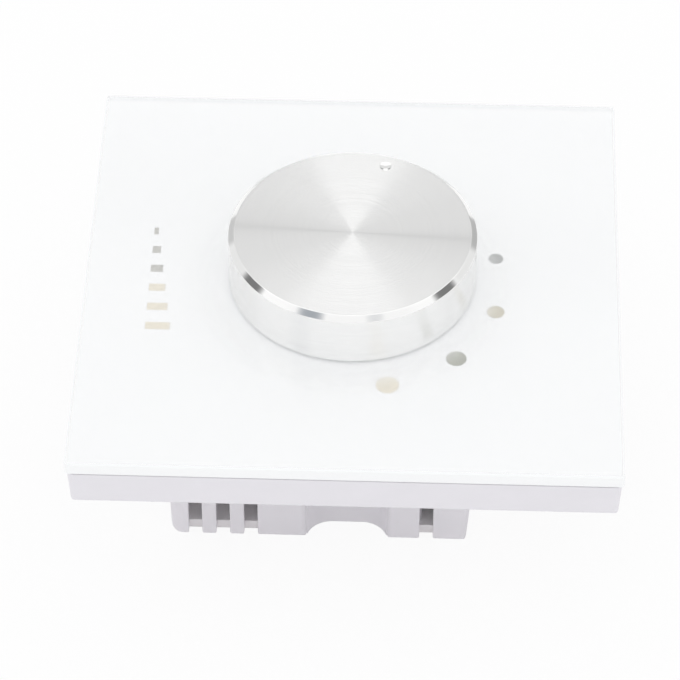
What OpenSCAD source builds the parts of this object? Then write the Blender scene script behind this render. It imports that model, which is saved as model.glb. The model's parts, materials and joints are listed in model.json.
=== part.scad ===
// Wall volume control: a glass-fronted wall plate with a stepped rotary knob.
// The origin is on the knob axis in the wall plane, +X points right along the wall,
// +Y up the wall and +Z out of the wall. Clock angles run from +Y towards +X.

/* [Glass panel] */
// Side of the square glass panel
panel_size = 86; // [84:0.5:92]
// Thickness of the glass
glass_t = 2.4; // [1.5:0.1:4]
// Corner radius of the glass
glass_corner_r = 0.8; // [0.5:0.1:4]
// Polished chamfer along the edges of the glass
glass_chamfer = 0.25; // [0.1:0.05:0.6]
// Hole through the glass, the adhesive and the frame
panel_hole_d = 18; // [15:0.5:26]
// Thickness of the adhesive sheet
adhesive_t = 0.18; // [0.1:0.02:1]
// Set-back of the adhesive from the edge of the frame
adhesive_setback = 1.2; // [0.6:0.1:4]
// Thickness of the print on the back of the glass
print_t = 0.1; // [0.05:0.01:0.2]
// Set-back of the print from the edge of the glass
print_setback = 0.4; // [0.3:0.1:2]
// Pitch radius of the dial dots
dot_pitch_r = 23.9; // [22:0.1:30]
// Diameter of the first dial dot
dot_first_d = 1.5; // [0.8:0.05:2.5]
// Growth in diameter from one dial dot to the next
dot_growth = 0.43; // [0.1:0.01:0.6]
// Clock angle of the first dial dot, in degrees
dot_first_angle = -75; // [-90:1:-60]
// Distance of the row of level bars to the right of the knob axis
bars_shift = 0.1; // [-8:0.1:8]
// Height of the row of level bars above the lower edge of the glass
bars_edge = 10.3; // [6:0.1:14]
// Length of the row of level bars
bars_len = 23.6; // [12:0.1:30]
// Height of the tallest level bar
bars_h = 3.9; // [2:0.1:6]
// Width of a level bar
bar_w = 1.6; // [0.8:0.1:2.4]
// Number of level bars
bar_count = 6; // [4:1:8]

/* [Front frame] */
// Height of the frame from the wall to the adhesive
frame_h = 6.4; // [6.2:0.1:10]
// Distance that the glass stands out past the frame
glass_overhang = 0.35; // [0:0.05:1]
// Draft of the frame sides, in degrees
frame_draft = 3; // [0:0.5:6]
// Wall of the frame at the rear edge
frame_wall = 1.8; // [1.2:0.1:3]
// Thickness of the frame under the glass
frame_top_t = 1.6; // [1:0.1:2]
// Corner radius of the frame under the glass
frame_corner_r = 1; // [0.6:0.1:4]
// Rounding of the rear edge of the frame
frame_edge_r = 0.6; // [0.3:0.1:1.2]
// Length of each snap hook
hook_len = 8; // [4:0.5:14]
// Distance that a snap hook stands in from the frame wall
hook_reach = 0.9; // [0.5:0.1:1.4]
// Height of each snap hook
hook_h = 0.8; // [0.6:0.1:1.4]
// Distance of each snap hook from the centre line
hook_x = 24; // [12:0.5:32]
// Thickness of the ribs under the frame and on the base plate
rib_t = 1.2; // [0.8:0.1:2]
// Height of the ribs under the frame
frame_rib_h = 0.6; // [0.4:0.1:1.2]
// Width of the pry notch in the lower edge
pry_w = 9; // [5:0.5:16]
// Height of the pry notch
pry_h = 1.2; // [0.6:0.1:2]

/* [Base plate] */
// Thickness of the base plate
base_t = 2.4; // [2:0.1:3]
// Depth of the seat for the rear housing
seat_depth = 0.6; // [0.4:0.1:1]
// Thickness of the rim
base_rim_t = 1.4; // [1:0.1:2.4]
// Height of the ribs on the base plate
base_rib_h = 1.2; // [0.5:0.1:1.4]
// Distance between the two wall box screws
box_screw_spacing = 60.3; // [58:0.1:64]
// Width of each box screw slot
box_slot_w = 4.5; // [3.6:0.1:5.2]
// Length of each box screw slot
box_slot_len = 6.5; // [5.5:0.1:8]

/* [Knob] */
// Diameter of the knob
knob_d = 39.7; // [34:0.1:46]
// Height of the knob
knob_h = 9.25; // [8:0.05:14]
// Gap between the knob and the glass
knob_gap = 0.4; // [0.3:0.05:1]
// Width of the polished chamfer, measured across
knob_chamfer_w = 0.9; // [0.3:0.1:1.5]
// Height of the polished chamfer
knob_chamfer_h = 0.7; // [0.3:0.1:1.5]
// Thickness of the knob top
knob_top_t = 2.5; // [1.8:0.1:3.5]
// Thickness of the knob skirt
knob_wall = 2.4; // [1.8:0.1:4]
// Clock angle of the pointer at rest, in degrees
pointer_rest = -73; // [-90:1:-60]
// Pitch radius of the pointer dimple
dimple_pitch_r = 16.6; // [12:0.1:17]
// Diameter of the pointer dimple
dimple_d = 2; // [1:0.1:3]
// Depth of the pointer dimple
dimple_depth = 0.6; // [0.3:0.1:1]
// Wall of the knob insert
insert_wall = 1.4; // [1:0.1:2]
// Wall of the knob insert's hub
hub_wall = 2.4; // [1.8:0.1:3.5]
// Thickness of the knob's spring ring
ring_t = 0.5; // [0.3:0.1:0.8]
// Height of the knob's spring ring
ring_h = 1.5; // [0.8:0.1:2]

/* [Rotary switch] */
// Number of switch positions
positions = 6; // [4:1:8]
// Turn between two positions, in degrees
step_angle = 30; // [20:1:30]
// Diameter of the shaft
shaft_d = 6; // [5:0.1:6.4]
// Depth of the flat on the shaft's end
shaft_flat = 1.5; // [1:0.1:2]
// Distance across the drive flats inside the switch
drive_flats = 4.6; // [4:0.1:5]
// Diameter of the shaft's rear pivot
pivot_d = 4; // [3:0.1:4.4]
// Outer diameter of the threaded bush
bush_d = 9; // [8.4:0.1:10]
// Height of the bush above the nut
bush_proud = 1.5; // [0.5:0.1:2.5]
// Distance across the nut's flats
nut_flats = 12; // [11.5:0.5:14]
// Thickness of the nut
nut_t = 2; // [1.5:0.1:2.5]
// Diameter of the lock washer
washer_d = 13; // [12:0.5:15]
// Thickness of the lock washer
washer_t = 0.5; // [0.3:0.1:0.8]
// Thickness of the switch flange
flange_t = 1.5; // [1.2:0.1:2.2]
// Side of the square switch case
case_w = 22.4; // [21.6:0.1:24]
// Depth of the switch case
case_h = 8.5; // [8:0.1:9.5]
// Corner radius of the switch case
case_corner_r = 2; // [1:0.1:3]
// Wall of the switch case round its contact wafer
case_wall = 1.2; // [0.8:0.1:1.6]
// Ledge that the contact wafer seats on
wafer_ledge = 0.5; // [0.3:0.1:0.8]
// Thickness of the contact wafer
wafer_t = 1; // [0.8:0.1:1.4]
// Depth of the groove for the shaft's retaining clip
groove_depth = 0.6; // [0.4:0.05:0.8]
// Distance that the retaining clip stands out past the shaft
clip_reach = 1.4; // [0.8:0.1:2]
// Thickness of the shaft's retaining clip
clip_t = 0.55; // [0.4:0.05:0.8]
// Thickness of the detent wheel
wheel_t = 2.4; // [1.6:0.1:2.8]
// Room for the leaf spring between the detent wheel and the case
leaf_room = 2.3; // [2:0.1:3]
// Radius of the detent notches
notch_scoop_r = 1.2; // [0.9:0.05:1.3]
// Thickness of the detent leaf spring
leaf_t = 0.3; // [0.2:0.05:0.4]
// Thickness of the contact rotor's disc
rotor_t = 1.4; // [1:0.1:1.8]
// Width of the rotor's stop lug, in degrees
stop_lug = 14; // [8:1:20]
// Distance of the contact studs' pitch circle from the case's inner wall
stud_edge = 2.3; // [1.6:0.1:2.6]
// Radius of the contact studs' heads
stud_head_r = 0.9; // [0.6:0.05:1]
// Thickness of the contacts on the wafer
contact_t = 0.25; // [0.15:0.05:0.4]
// Radius of the switch rivets
rivet_r = 0.8; // [0.6:0.05:1]
// Radius of the switch's contact pins
pin_r = 0.4; // [0.3:0.05:0.5]

/* [Circuit board] */
// Thickness of the circuit board
board_t = 1.6; // [1:0.1:2]
// Gap between the switch and the circuit board
board_standoff = 1.2; // [1:0.1:1.6]
// Radius of the posts that carry the board
post_r = 2.6; // [2:0.1:3]
// Board left between a post and the edge of the board
board_edge = 1.4; // [1:0.1:2.5]

/* [Transformer] */
// Width of an outer core leg; the other core sizes are multiples of it
core_leg = 4; // [3.8:0.1:4.4]
// Thickness of the core stack
core_stack = 9; // [8:0.1:11]
// Wall of the bobbin
bobbin_wall = 0.8; // [0.6:0.1:1]
// Thickness of the winding
winding_t = 1.6; // [1:0.1:1.8]
// Thickness of the tape over the winding
tape_t = 0.25; // [0.1:0.05:0.4]
// Number of winding taps
tap_count = 7; // [5:1:7]
// Distance between two tap pins
tap_pitch = 2.54; // [1.8:0.02:2.6]
// Radius of a tap pin
tap_pin_r = 0.35; // [0.25:0.05:0.45]
// Thickness of the core clamp
clamp_t = 0.8; // [0.5:0.1:1.2]
// Width of the core clamp
clamp_w = 7; // [5:0.1:8]
// Gap between the transformer and the switch case
coil_gap = 0.65; // [0.4:0.05:2]

/* [Terminals] */
// Number of terminals
terminal_ways = 4; // [2:1:4]
// Distance between two terminals
terminal_pitch = 5.08; // [5:0.02:5.2]
// Depth of the terminal block
terminal_depth = 9.1; // [8.6:0.1:11]
// Plastic left in front of, behind and under a terminal clamp
cage_margin = 1.6; // [1.2:0.1:2]
// Radius of each wire entry
wire_r = 1.5; // [1.1:0.05:1.6]
// Room above and below a wire entry in the housing's wire window
wire_window_edge = 1.2; // [0.6:0.1:1.6]
// Radius of the terminal screws
terminal_screw_r = 1.5; // [1.2:0.05:1.6]

/* [Rear housing] */
// Width of the rear housing at its rear edge
housing_w = 56; // [54:0.5:60]
// Wall of the rear housing at its rear edge
housing_wall = 1.55; // [1.2:0.05:2]
// Draft of the housing's lower end, in degrees
lower_draft = 1; // [0:0.5:3]
// Draft of the housing's upper end, in degrees
upper_draft = 4; // [0:0.5:5]
// Corner radius at the lower end
lower_corner_r = 3; // [1.8:0.1:5]
// Corner radius at the upper end
upper_corner_r = 1; // [0.5:0.1:3]
// Rounding of the rear edge
housing_edge_r = 0.7; // [0.3:0.1:1]
// Distance from a box screw's axis to the bottom of its lug notch
notch_back = 5.75; // [5:0.05:6.5]
// Width of a lug notch
notch_w = 13.2; // [11.5:0.1:15]
// Radius of the lug notch's inner corners
notch_r = 4.2; // [2:0.1:4.6]
// Rounding of the lug notch's mouth
notch_mouth_r = 0.8; // [0.3:0.1:1.2]
// Width of a vent slot
slot_w = 2.2; // [1.5:0.1:2.6]
// Distance between two vent slots
slot_pitch = 4.48; // [4:0.02:4.6]
// Number of vent slots at the lower end of each side
slot_count = 3; // [1:1:3]
// Distance from the lower end to the first vent slot
slot_first = 4.1; // [3.6:0.1:4.6]
// Distance from the upper end to the single vent slot
slot_top = 6.45; // [5.2:0.05:6.8]
// Height of a vent slot from the rear edge
slot_h = 16; // [8:0.5:18]
// Widening of each slot's mouth at the rear edge, to either side
slot_flare = 0.3; // [0.1:0.05:0.5]
// Height of the slot's mouth
slot_flare_h = 0.8; // [0.4:0.1:1.5]
// Thickness of the back cover
cover_t = 1.75; // [1.4:0.05:2.4]
// Gap between the transformer clamp and the back cover
cover_gap = 0.75; // [0.3:0.05:2]
// Radius of the screw bosses
boss_r = 2.3; // [2:0.1:2.6]

/* [Screws] */
// Radius of the plastic screws' shanks
screw_r = 1.1; // [0.9:0.05:1.2]
// Radius of the plastic screws' heads
screw_head_r = 2; // [1.7:0.1:2.1]
// Thickness of the plastic screws' heads
screw_head_t = 0.9; // [0.6:0.1:1]
// Length of the plastic screws' shanks
screw_len = 7; // [4:0.5:9]
// Plastic left between a screw head and the edge of what it holds
screw_edge = 0.5; // [0.3:0.1:1.5]
// Width of a driver slot in a screw head
driver_slot_w = 0.6; // [0.4:0.1:0.8]

/* [Fits] */
// Radial clearance of the turning shaft
run_fit = 0.03; // [0.02:0.01:0.08]
// Clearance of fixed pieces in their seats
seat_fit = 0.05; // [0.03:0.01:0.1]
// Clearance of the frame and covers in their openings
panel_fit = 0.2; // [0.1:0.05:0.4]
// Gap that the print's ink leaves under the glass and round its marks
print_fit = 0.02; // [0.01:0.01:0.05]
// Clearance between flat faces that slide past each other
slide_fit = 0.1; // [0.06:0.01:0.2]

/* [Hidden] */
$fn = 64;
overlap = 0.2;

print_z = frame_h + adhesive_t;
glass_z = print_z + print_t + print_fit;
glass_top = glass_z + glass_t;
frame_half = panel_size / 2 - glass_overhang;
frame_rear_half = frame_half - frame_h * tan(frame_draft);
frame_cavity_half = frame_rear_half - frame_wall;
frame_cavity_h = frame_h - frame_top_t;
frame_cavity_r = max(frame_edge_r, 1.5);
base_half = frame_cavity_half - panel_fit;
base_rim_top = frame_cavity_h - 3 * panel_fit;
hook_z = (base_t + base_rim_top) / 2;
panel_hole_r = panel_hole_d / 2;

knob_r = knob_d / 2;
knob_z = glass_top + knob_gap;
knob_top = knob_z + knob_h;
knob_under = knob_top - knob_top_t;
insert_r = knob_r - knob_wall - seat_fit;
insert_z = knob_z + knob_gap;
insert_plate_t = insert_wall;
hub_r = shaft_d / 2 + hub_wall;
ring_z = insert_z + knob_gap;

shaft_r = shaft_d / 2;
shaft_top = knob_under - 3 * slide_fit;
bush_r = bush_d / 2;
washer_z = base_t;
nut_z = washer_z + washer_t;
bush_top = nut_z + nut_t + bush_proud;
flange_z = seat_depth - flange_t;
case_half = case_w / 2;
case_z = flange_z - case_h;
wafer_pocket_r = case_half - case_wall;
wafer_r = wafer_pocket_r - slide_fit;
cavity_r = wafer_pocket_r - wafer_ledge;
wafer_top = case_z + wafer_t;
clip_top = flange_z - slide_fit;
groove_top = clip_top + seat_fit;
groove_bottom = clip_top - clip_t - seat_fit;
groove_r = shaft_r - groove_depth;
clip_r = shaft_r + clip_reach;
wheel_top = groove_bottom - slide_fit;
wheel_z = wheel_top - wheel_t;
wheel_r = cavity_r - leaf_room;
scoop_pitch_r = wheel_r + 0.5;
nose_gap = 0.15;
nose_root = notch_scoop_r - nose_gap;
nose_tip = nose_root / 3;
leaf_y = scoop_pitch_r + 0.7;
leaf_half = sqrt(pow(cavity_r, 2) - pow(leaf_y, 2)) + 1;
leaf_w = wheel_t - 4 * slide_fit;
rotor_z = wheel_z - rotor_t;
rotor_hub_r = shaft_r + 0.9;
rotor_r = cavity_r - 1.6;
lug_r = cavity_r - 0.4;
stop_r = cavity_r - 1.2;
rotor_hub_z = wafer_top + slide_fit;
sweep = (positions - 1) * step_angle;
stop_gap = 1;
stud_pitch_r = cavity_r - stud_edge;
common_in_r = rotor_hub_r + 0.4;
common_out_r = common_in_r + 0.8;
common_pitch_r = (common_in_r + common_out_r) / 2;
contact_top = wafer_top + contact_t;
wiper_t = 0.3;
dome_r = 0.45;
dome_z = contact_top + slide_fit + dome_r;
finger_w = 0.9;
rivet_pitch = case_half - case_corner_r;
rivet_head_r = rivet_r + 0.7;
rivet_head_t = 0.5;
locator_r = 1;
locator_y = case_half - 2.2;
locator_h = 1.2;

board_top = case_z - board_standoff;
board_z = board_top - board_t;
pin_tip = board_z - 0.7;

core_w = 6 * core_leg;
core_h = 5 * core_leg;
core_window_h = 3 * core_leg;
core_z = seat_depth - core_h;
window_z = core_z + core_leg;
bobbin_in_x = core_leg + slide_fit;
bobbin_in_y = core_stack / 2 + slide_fit;
coil_in = bobbin_wall + seat_fit;
coil_out = coil_in + winding_t;
tape_out = coil_out + seat_fit + tape_t;
bobbin_flange_y = bobbin_in_y + tape_out + slide_fit;
bobbin_flange_x = 2 * core_leg - slide_fit;
bobbin_z = window_z + slide_fit;
bobbin_h = core_window_h - 2 * slide_fit;
coil_fit = 0.2;
coil_y = -case_half - coil_gap - bobbin_flange_y;
tap_z = bobbin_z + bobbin_wall / 2;
tap_y = coil_y + bobbin_flange_y + tap_pin_r + 1.25;
tap_root = 1.6;
clamp_x = core_w / 2 + clamp_t + screw_head_r + 1.2;
clamp_ear = clamp_x + screw_head_r + 0.8;
clamp_thread_h = 1.8;

terminal_y = stud_pitch_r + pin_r + 0.8;
terminal_w = terminal_ways * terminal_pitch;
terminal_face = terminal_y + terminal_depth;
cover_top = core_z - clamp_t - cover_gap;
terminal_z = cover_top + slide_fit;
terminal_h = board_z - terminal_z;
cage_w = 2 * wire_r + 1;
cage_y = terminal_y + cage_margin;
cage_depth = terminal_depth - 2 * cage_margin;
cage_h = terminal_h - 2 * cage_margin;
cage_z = board_z - 1 - cage_h;
wire_z = cage_z + cage_h - wire_r - 0.6;
clamp_screw_y = cage_y + cage_depth / 2;
terminal_head_r = terminal_screw_r + 0.25;
terminal_head_t = 1.2;

housing_rear = cover_top - cover_t;
housing_half = housing_w / 2;
housing_lower = -coil_y + bobbin_flange_y + coil_fit + housing_wall;
housing_upper = terminal_face + coil_fit + housing_wall;
housing_h = seat_depth - housing_rear;
lower_grow = housing_h * tan(lower_draft);
upper_grow = housing_h * tan(upper_draft);
notch_x = box_screw_spacing / 2 - notch_back;
notch_half = notch_w / 2;
boss_x = housing_half - housing_wall - boss_r + 0.3;
boss_reach = notch_r + housing_wall + panel_fit + screw_head_r + screw_edge;
boss_y = notch_half - notch_r + sqrt(pow(boss_reach, 2) - pow(max(notch_x + notch_r - boss_x, 0), 2));
board_half = min(boss_x - boss_r, notch_x - housing_wall) - 0.5;
board_lower = coil_y + bobbin_flange_y + 0.5;
board_upper = terminal_face - 0.3;
post_x = board_half - post_r - board_edge;
post_y = 3;
clear_r = screw_r + 0.2;
base_rib_x = (boss_x - screw_head_r + clamp_x + screw_head_r) / 2;

// Shapes that repeat

// A point at a clock angle and a radius
function on_dial(angle, r) = [r * sin(angle), r * cos(angle)];

// Centre lines of the terminals
function terminal_x(i) = (i - (terminal_ways - 1) / 2) * terminal_pitch;

// Centre lines of the tap pins
function tap_x(i) = (i - (tap_count - 1) / 2) * tap_pitch;

module slab(z0, z1) {
    translate([0, 0, z0]) linear_extrude(z1 - z0) children();
}

module post(r, z0, z1) {
    translate([0, 0, z0]) cylinder(r = r, h = z1 - z0);
}

module tube(r_out, r_in, z0, z1) {
    slab(z0, z1) difference() {
        circle(r_out);
        circle(r_in);
    }
}

module rounded_square(w, h, r) {
    square([w - 2 * r, h], center = true);
    square([w, h - 2 * r], center = true);
    for (x = [-1, 1], y = [-1, 1]) translate([x * (w / 2 - r), y * (h / 2 - r)]) circle(r);
}

module both_sides() {
    children();
    mirror([1, 0, 0]) children();
}

// Copies at the four corners of a rectangle
module at_corners(x, y) {
    for (i = [-1, 1], j = [-1, 1]) translate([i * x, j * y, 0]) children();
}

// Turns what points up the wall to a clock angle
module at_clock(angle) {
    rotate([0, 0, -angle]) children();
}

// A round with two flats
module drive_section(clearance) {
    intersection() {
        circle(shaft_r + clearance);
        square([drive_flats + 2 * clearance, shaft_d + 1], center = true);
    }
}

// A wedge of less than a half turn, centred on +Y
module wedge(angle, r) {
    polygon([[0, 0], for (i = [-2 : 2]) on_dial(i * angle / 4, r)]);
}

// A slotted screw whose head's seat is at z = 0, with its shank along -Z
module slotted_screw(r, len, head_r, head_t) {
    difference() {
        union() {
            post(r, -len, overlap);
            post(head_r, 0, head_t);
        }
        translate([-head_r - 1, -driver_slot_w / 2, head_t / 2])
            cube([2 * head_r + 2, driver_slot_w, head_t]);
    }
}

module plastic_screw(len = screw_len) {
    slotted_screw(screw_r, len, screw_head_r, screw_head_t);
}

// A rectangle round the knob axis whose lower and upper ends keep their own corner radius
module end_rounded(half, low, high, low_r, high_r) {
    translate([-half, low_r - low]) square([2 * half, low + high - low_r - high_r]);
    translate([low_r - half, -low]) square([2 * (half - low_r), low]);
    translate([high_r - half, 0]) square([2 * (half - high_r), high]);
    for (x = [-1, 1]) {
        translate([x * (half - low_r), low_r - low]) circle(low_r);
        translate([x * (half - high_r), high - high_r]) circle(high_r);
    }
}

// Outline of the rear housing at its rear edge, grown outwards
module housing_outline(grow) {
    difference() {
        end_rounded(housing_half + grow, housing_lower + grow, housing_upper + grow,
            max(lower_corner_r + grow, 0.3), max(upper_corner_r + grow, 0.3));
        both_sides() lug_notch(grow);
    }
}

// Outline of the rear housing where it seats in the base plate
module housing_seat(grow) {
    difference() {
        end_rounded(housing_half + grow,
            housing_lower + lower_grow + grow, housing_upper + upper_grow + grow,
            lower_corner_r + grow, upper_corner_r + grow);
        both_sides() lug_notch(grow);
    }
}

// Outline of one lug notch, with a rounded mouth on the outer wall
module lug_notch(grow) {
    x = notch_x + grow;
    r = notch_r - grow;
    flat_half = notch_half - notch_r;
    reach = housing_w;
    translate([x, -flat_half]) square([reach, 2 * flat_half]);
    translate([x + r, -flat_half - r]) square([reach, 2 * (flat_half + r)]);
    for (y = [-1, 1]) translate([x + r, y * flat_half]) circle(r);
    if (grow == 0) for (y = [0, 1]) mirror([0, y]) notch_mouth(flat_half + r);
}

module notch_mouth(half) {
    r = notch_mouth_r;
    difference() {
        translate([housing_half - r, half - r]) square([housing_w, 2 * r]);
        translate([housing_half - r, half + r]) circle(r);
    }
}

// Front of the wall plate

module glass_panel() color([0.93, 0.97, 0.97]) {
    half = panel_size / 2;
    difference() {
        slab(glass_z, glass_top) difference() {
            rounded_square(panel_size, panel_size, glass_corner_r);
            circle(panel_hole_r);
        }
        for (a = [0 : 90 : 270], z = [glass_z, glass_top]) rotate([0, 0, a])
            translate([half, 0, z]) rotate([90, 45, 0])
                cube([sqrt(2) * glass_chamfer, sqrt(2) * glass_chamfer, panel_size + 1], center = true);
    }
}

// The white print, with windows for the marks
module white_print() color([0.96, 0.96, 0.97]) {
    side = panel_size - 2 * print_setback;
    slab(print_z, print_z + print_t) difference() {
        rounded_square(side, side, glass_corner_r);
        circle(panel_hole_r);
        dot_row(print_fit);
        bar_row(print_fit);
    }
}

module dial_dots() color([0.76, 0.76, 0.74]) slab(print_z, print_z + print_t) dot_row(0);

module level_bars() color([0.78, 0.77, 0.76]) slab(print_z, print_z + print_t) bar_row(0);

// Dots that grow with the level, one for each position
module dot_row(grow) {
    for (i = [0 : positions - 1]) translate(on_dial(dot_first_angle + i * step_angle, dot_pitch_r))
        circle(d = dot_first_d + i * dot_growth + 2 * grow);
}

// Bars that rise with the level, under the knob
module bar_row(grow) {
    pitch = (bars_len - bar_w) / (bar_count - 1);
    for (i = [0 : bar_count - 1]) {
        h = bars_h * (i + 1) / bar_count;
        translate([bars_shift - bars_len / 2 + i * pitch - grow, bars_edge - panel_size / 2 - grow])
            square([bar_w + 2 * grow, h + 2 * grow]);
    }
}

module adhesive_sheet() color([0.35, 0.35, 0.38]) {
    side = 2 * (frame_half - adhesive_setback);
    slab(frame_h, print_z) difference() {
        rounded_square(side, side, frame_corner_r);
        circle(panel_hole_r + adhesive_setback);
    }
}

module front_frame() color([0.9, 0.89, 0.91]) {
    difference() {
        frame_body();
        slab(-1, frame_cavity_h)
            rounded_square(2 * frame_cavity_half, 2 * frame_cavity_half, frame_cavity_r);
        post(panel_hole_r, 0, frame_h + 1);
        translate([-pry_w / 2, -frame_rear_half - 1, -1]) cube([pry_w, frame_wall / 2 + 1, pry_h + 1]);
    }
    for (x = [-1, 1], y = [0, 1]) mirror([0, y, 0]) translate([x * hook_x, 0, hook_z]) snap_hook();
    for (a = [45 : 90 : 315]) rotate([0, 0, a]) frame_rib();
}

// Sides with draft and a rounded rear edge
module frame_body() {
    hull() {
        at_corners(frame_half - frame_corner_r, frame_half - frame_corner_r)
            post(frame_corner_r, frame_h - overlap, frame_h, $fn = 32);
        at_corners(frame_rear_half - frame_edge_r, frame_rear_half - frame_edge_r)
            translate([0, 0, frame_edge_r]) sphere(frame_edge_r, $fn = 32);
    }
}

// A ramped hook on the upper frame wall
module snap_hook() {
    wall = frame_cavity_half;
    translate([-hook_len / 2, 0, 0]) rotate([90, 0, 90]) linear_extrude(hook_len) polygon([
        [wall + overlap, hook_h / 2],
        [wall - hook_reach, hook_h / 2],
        [wall - hook_reach, 0],
        [wall + overlap, -hook_h / 2]]);
}

// A rib from the hole towards a corner, inside the base plate's rim
module frame_rib() {
    start = panel_hole_r + rib_t;
    end = sqrt(2) * (base_half - base_rim_t - 2 * panel_fit) - rib_t;
    translate([start, -rib_t / 2, frame_cavity_h - frame_rib_h])
        cube([end - start, rib_t, frame_rib_h + overlap]);
}

// Base plate and rear housing

module base_plate() color([0.86, 0.86, 0.88]) {
    difference() {
        union() {
            slab(0, base_t) rounded_square(2 * base_half, 2 * base_half, frame_cavity_r);
            base_rim();
            both_sides() translate([base_rib_x - rib_t / 2, -base_half + base_rim_t / 2, base_t - overlap])
                cube([rib_t, 2 * base_half - base_rim_t, base_rib_h + overlap]);
            both_sides() translate([clamp_x, coil_y, 0])
                post(screw_head_r, base_t - overlap, base_t + clamp_thread_h);
        }
        slab(-1, seat_depth) housing_seat(panel_fit);
        post(bush_r + slide_fit, -1, base_t + 1);
        translate([0, locator_y, 0]) post(locator_r + slide_fit, -1, seat_depth + locator_h + slide_fit);
        both_sides() box_screw_slot();
        at_corners(boss_x, boss_y) {
            post(clear_r, 0, base_t + 1);
            post(screw_head_r + panel_fit, base_t - screw_head_t, base_t + base_rib_h + 1);
        }
        both_sides() translate([clamp_x, coil_y, 0])
            post(screw_r + seat_fit, -1, base_t + clamp_thread_h - rib_t / 2);
        hook_windows();
    }
    both_sides() translate([post_x, post_y, 0]) difference() {
        post(post_r, board_top, seat_depth + overlap);
        post(screw_r + seat_fit, board_top - 1, board_top + screw_len + 1);
    }
}

module base_rim() {
    slab(base_t - overlap, base_rim_top) difference() {
        rounded_square(2 * base_half, 2 * base_half, frame_cavity_r);
        inner = 2 * (base_half - base_rim_t);
        rounded_square(inner, inner, frame_cavity_r);
    }
}

module box_screw_slot() {
    travel = (box_slot_len - box_slot_w) / 2;
    slab(-1, base_t + base_rib_h + 1) translate([box_screw_spacing / 2, 0]) {
        square([2 * travel, box_slot_w], center = true);
        for (x = [-1, 1]) translate([x * travel, 0]) circle(box_slot_w / 2);
    }
}

// Windows in the rim for the frame's hooks
module hook_windows() {
    w = hook_len + 2 * panel_fit;
    h = hook_h + 2 * panel_fit;
    for (x = [-1, 1], y = [0, 1]) mirror([0, y, 0])
        translate([x * hook_x - w / 2, base_half - base_rim_t - 1, hook_z - h / 2])
            cube([w, base_rim_t + 2, h]);
}

module base_screws() color([0.75, 0.76, 0.78])
    at_corners(boss_x, boss_y) translate([0, 0, base_t - screw_head_t]) plastic_screw();

module rear_housing() color([0.84, 0.83, 0.86]) {
    difference() {
        housing_shell();
        slab(housing_rear - 1, seat_depth + 1) housing_outline(-housing_wall);
        both_sides() {
            for (i = [0 : slot_count - 1]) vent_slot(-housing_lower + slot_first + i * slot_pitch);
            vent_slot(housing_upper - slot_top);
            rear_edge_round(housing_half, housing_lower + housing_upper);
        }
        rotate([0, 0, 90]) rear_edge_round(housing_upper, housing_w);
        rotate([0, 0, -90]) rear_edge_round(housing_lower, housing_w);
        wire_window();
    }
    at_corners(boss_x, boss_y) difference() {
        post(boss_r, cover_top, seat_depth);
        post(screw_r + seat_fit, cover_top - 1, seat_depth + 1);
    }
}

// The outside, whose ends widen towards the wall plate, with its lug notches
module housing_shell() {
    difference() {
        hull() for (end = [0, 1]) translate([0, 0, end == 0 ? housing_rear : seat_depth - overlap / 4])
            linear_extrude(overlap / 4)
                end_rounded(housing_half,
                    housing_lower + end * lower_grow, housing_upper + end * upper_grow,
                    lower_corner_r, upper_corner_r, $fn = 32);
        slab(housing_rear - 1, seat_depth + 1) both_sides() lug_notch(0);
    }
}

// A slot through a side wall, open at the rear edge with a flared mouth
module vent_slot(y) {
    half = slot_w / 2;
    mouth = half + slot_flare;
    translate([housing_half - housing_wall - 0.05, y, housing_rear]) rotate([90, 0, 90])
        linear_extrude(3 * housing_wall) polygon([
            [-half, slot_h],
            [-half, slot_flare_h],
            [-mouth, 0],
            [-mouth, -1],
            [mouth, -1],
            [mouth, 0],
            [half, slot_flare_h],
            [half, slot_h]]);
}

// What is cut away to round a straight rear edge at a distance x
module rear_edge_round(x, len) {
    r = housing_edge_r;
    translate([x - r, 0, housing_rear + r]) rotate([90, 0, 0])
        linear_extrude(2 * len, center = true) difference() {
            translate([0, -2 * r]) square([2 * r, 2 * r]);
            circle(r);
        }
}

// Opening in the upper wall in front of the wire entries
module wire_window() {
    w = terminal_w - 2 * slide_fit;
    h = 2 * (wire_r + wire_window_edge);
    translate([-w / 2, housing_upper - housing_wall - 0.05, wire_z - h / 2])
        cube([w, 3 * housing_wall + upper_grow, h]);
}

module back_cover() color([0.88, 0.87, 0.89]) {
    difference() {
        slab(housing_rear, cover_top) housing_outline(-housing_wall - panel_fit / 2);
        at_corners(boss_x, boss_y) {
            post(clear_r, housing_rear - 1, cover_top + 1);
            post(screw_head_r + slide_fit, housing_rear - 1, housing_rear + screw_head_t);
        }
        for (i = [0 : terminal_ways - 1]) translate([terminal_x(i), clamp_screw_y, 0])
            post(terminal_head_r + panel_fit, housing_rear - 1, cover_top + 1);
    }
}

module cover_screws() color([0.75, 0.76, 0.78])
    at_corners(boss_x, boss_y) translate([0, 0, housing_rear + screw_head_t]) mirror([0, 0, 1])
        plastic_screw();

// Knob

module knob_cap() color([0.86, 0.86, 0.86]) {
    difference() {
        rotate_extrude() polygon([
            [0, knob_under],
            [knob_r - knob_wall, knob_under],
            [knob_r - knob_wall, knob_z],
            [knob_r - knob_gap / 2, knob_z],
            [knob_r, knob_z + knob_gap / 2],
            [knob_r, knob_top - knob_chamfer_h],
            [knob_r - knob_chamfer_w, knob_top],
            [0, knob_top]]);
        at_clock(pointer_rest) translate([0, dimple_pitch_r, knob_top - dimple_depth])
            cylinder(r1 = 0, r2 = dimple_d, h = 2 * dimple_depth);
    }
}

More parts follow.
